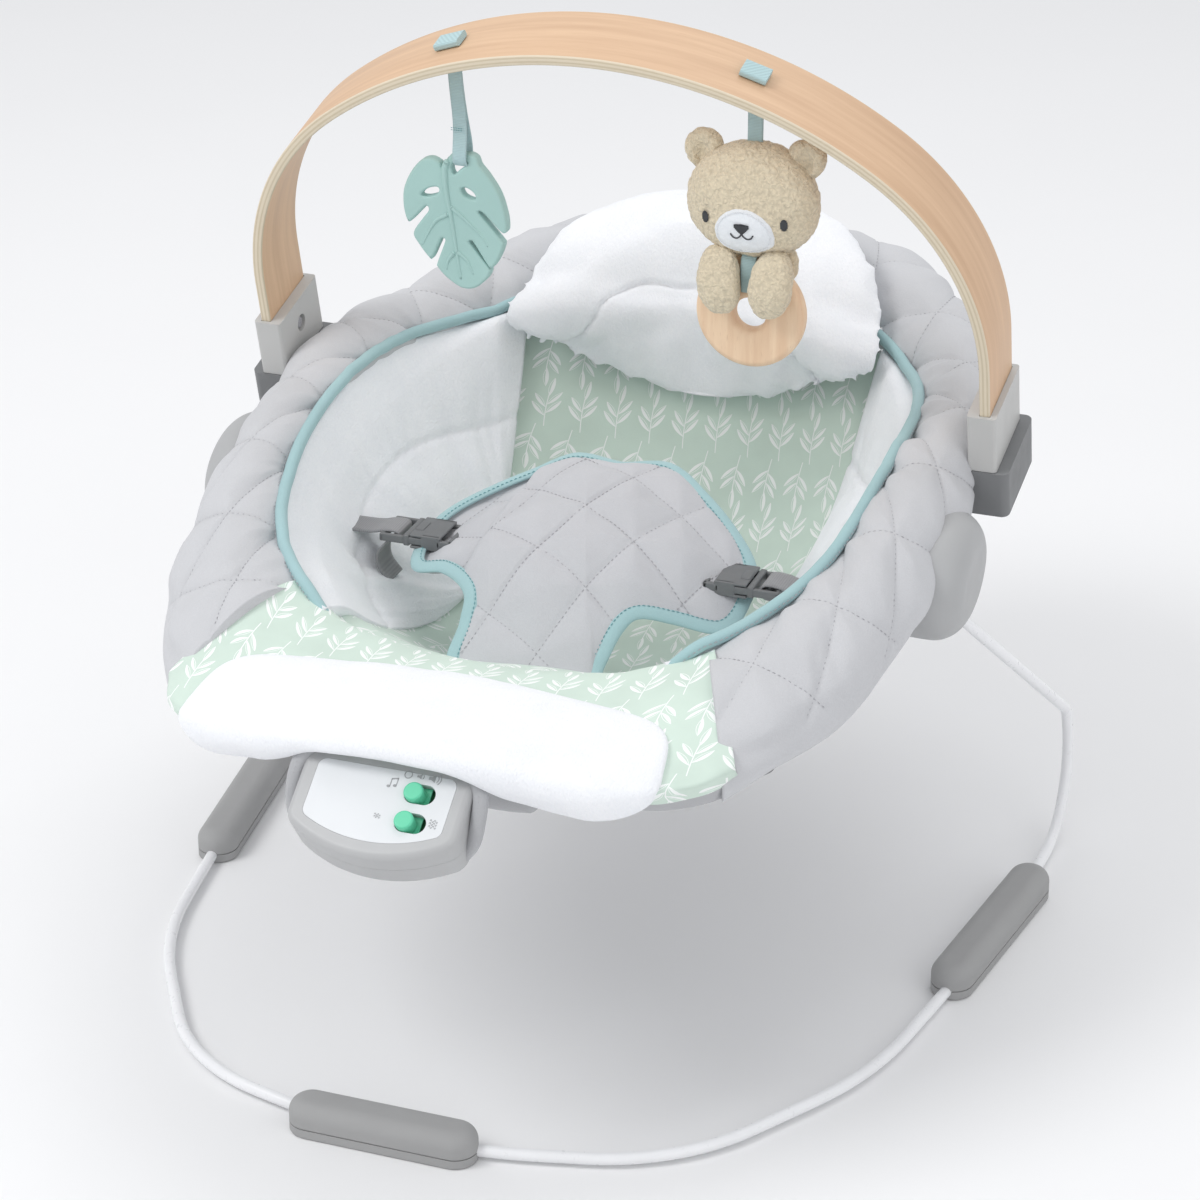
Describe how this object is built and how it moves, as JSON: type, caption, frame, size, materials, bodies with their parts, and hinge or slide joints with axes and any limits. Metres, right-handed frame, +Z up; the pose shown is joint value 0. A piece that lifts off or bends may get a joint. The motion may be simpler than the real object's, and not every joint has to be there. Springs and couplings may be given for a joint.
{
  "type": "baby bouncer seat",
  "caption": "Infant bouncer: padded oval seat on a sprung wire base, with head pillow, waist harness, vibration unit and a lift-off wooden toy arch with hanging toys.",
  "frame": {"origin": "on the floor, under the middle of the object's box", "axes": "+Z up, -Y to the front where the control unit is, +X to the right of someone facing the seat; left and right in node names are that person's"},
  "size_m": [0.5466, 0.6799, 0.5602],
  "materials": {
    "white_wire": "white powder coat",
    "foot_grey": "soft matt moulded",
    "hub_grey": "fine-textured satin",
    "beech_wood": "clear matt lacquer",
    "socket_grey": "fine-textured satin",
    "clamp_grey": "fine-textured satin",
    "screw_steel": "zinc",
    "teal_ribbon": "grosgrain",
    "leaf_silicone": "matt silicone",
    "bear_plush": "sherpa",
    "bear_white": "short plush",
    "ring_fabric": "brushed woven, diamond quilted",
    "sage_print": "smooth woven, leaf print",
    "white_plush": "short plush",
    "sling_fabric": "plain woven",
    "teal_piping": "bias tape",
    "pad_quilt": "brushed woven, quilted",
    "webbing": "ribbed webbing",
    "buckle_grey": "moulded",
    "unit_grey": "fine-textured satin",
    "plate_white": "satin",
    "slider_mint": "gloss",
    "board_green": "solder mask",
    "cell_jacket": "printed jacket",
    "speaker_black": "paper cone and frame",
    "motor_steel": "plated",
    "weight_brass": "plain"
  },
  "bodies": {
    "base": {"front_wire": "white_wire", "front_foot": "foot_grey", "heel_wire_left": "white_wire", "heel_wire_right": "white_wire", "side_foot_left": "foot_grey", "side_foot_right": "foot_grey"},
    "seat": {"leg_wire_left": "white_wire", "leg_wire_right": "white_wire", "hub_cover_left": "hub_grey", "hub_cover_right": "hub_grey", "hub_back_left": "hub_grey", "hub_back_right": "hub_grey", "front_hoop": "white_wire", "rear_hoop": "white_wire", "bar_clamp_left": "clamp_grey", "bar_clamp_right": "clamp_grey", "clamp_cap_left": "clamp_grey", "clamp_cap_right": "clamp_grey", "ring_cushion": "ring_fabric", "front_lip": "sage_print", "foot_patch": "white_plush", "seat_sling": "sling_fabric", "seat_panel": "sage_print", "side_panel_left": "white_plush", "side_panel_right": "white_plush", "edge_piping": "teal_piping", "head_pillow": "white_plush", "crotch_pad": "pad_quilt", "buckle_left": "buckle_grey", "buckle_right": "buckle_grey", "control_bezel": "unit_grey", "control_case": "unit_grey", "face_plate": "plate_white", "circuit_board": "board_green", "batteries": "cell_jacket", "speaker": "speaker_black", "vibration_motor": "motor_steel", "case_screws": "screw_steel"},
    "toy_bar": {"wood_arch": "beech_wood", "bar_screws": "screw_steel", "leaf_tab": "teal_ribbon", "bear_tab": "teal_ribbon", "bar_socket_left": "socket_grey", "bar_socket_right": "socket_grey"},
    "leaf_toy": {"leaf_strap": "teal_ribbon", "leaf_teether": "leaf_silicone"},
    "bear_toy": {"bear_strap": "teal_ribbon", "bear_head": "bear_plush", "bear_muzzle": "bear_white", "bear_arms": "bear_plush"},
    "bear_ring": {"wood_ring": "beech_wood"},
    "sound_switch": {"sound_slider": "slider_mint"},
    "vibration_switch": {"vibration_slider": "slider_mint"},
    "eccentric": {"motor_weight": "weight_brass"},
    "door": {"battery_door": "unit_grey"},
    "left_belt": {"buckle_tongue_left": "buckle_grey", "waist_strap_left": "webbing"},
    "right_belt": {"buckle_tongue_right": "buckle_grey", "waist_strap_right": "webbing"}
  },
  "joints": [
    {"name": "bounce", "type": "hinge", "parent": "base", "child": "seat", "pos_m": [0, 0.203, 0.074], "axis": [1, 0, 0], "range_deg": [-2, 5], "stiffness_Nm_per_rad": 160, "springref_deg": -1.6},
    {"name": "toy_bar_lift_off", "type": "slide", "parent": "seat", "child": "toy_bar", "axis": [0, -0.2403, 0.9707], "range_m": [0, 0.05]},
    {"name": "leaf_swing", "type": "hinge", "parent": "toy_bar", "child": "leaf_toy", "pos_m": [-0.092, 0.0293, 0.5269], "axis": [1, 0, 0], "range_deg": [-30, 30]},
    {"name": "bear_swing", "type": "hinge", "parent": "toy_bar", "child": "bear_toy", "pos_m": [0.092, 0.0293, 0.5269], "axis": [1, 0, 0], "range_deg": [-30, 30]},
    {"name": "wood_ring_spin", "type": "hinge", "parent": "bear_toy", "child": "bear_ring", "pos_m": [0.092, 0.0293, 0.3964], "axis": [0, 1, 0], "continuous": true},
    {"name": "sound_switch_slide", "type": "slide", "parent": "seat", "child": "sound_switch", "axis": [1, 0, 0], "range_m": [0, 0.006]},
    {"name": "vibration_switch_slide", "type": "slide", "parent": "seat", "child": "vibration_switch", "axis": [1, 0, 0], "range_m": [0, 0.006]},
    {"name": "motor_spin", "type": "hinge", "parent": "seat", "child": "eccentric", "pos_m": [0.009, -0.31865, 0.20567], "axis": [1, 0, 0], "continuous": true},
    {"name": "battery_door_off", "type": "slide", "parent": "seat", "child": "door", "axis": [0, 0.5878, -0.809], "range_m": [0, 0.015]},
    {"name": "left_buckle_release", "type": "slide", "parent": "seat", "child": "left_belt", "axis": [-1, 0, 0], "range_m": [0, 0.0165]},
    {"name": "right_buckle_release", "type": "slide", "parent": "seat", "child": "right_belt", "axis": [1, 0, 0], "range_m": [0, 0.0165]}
  ]
}
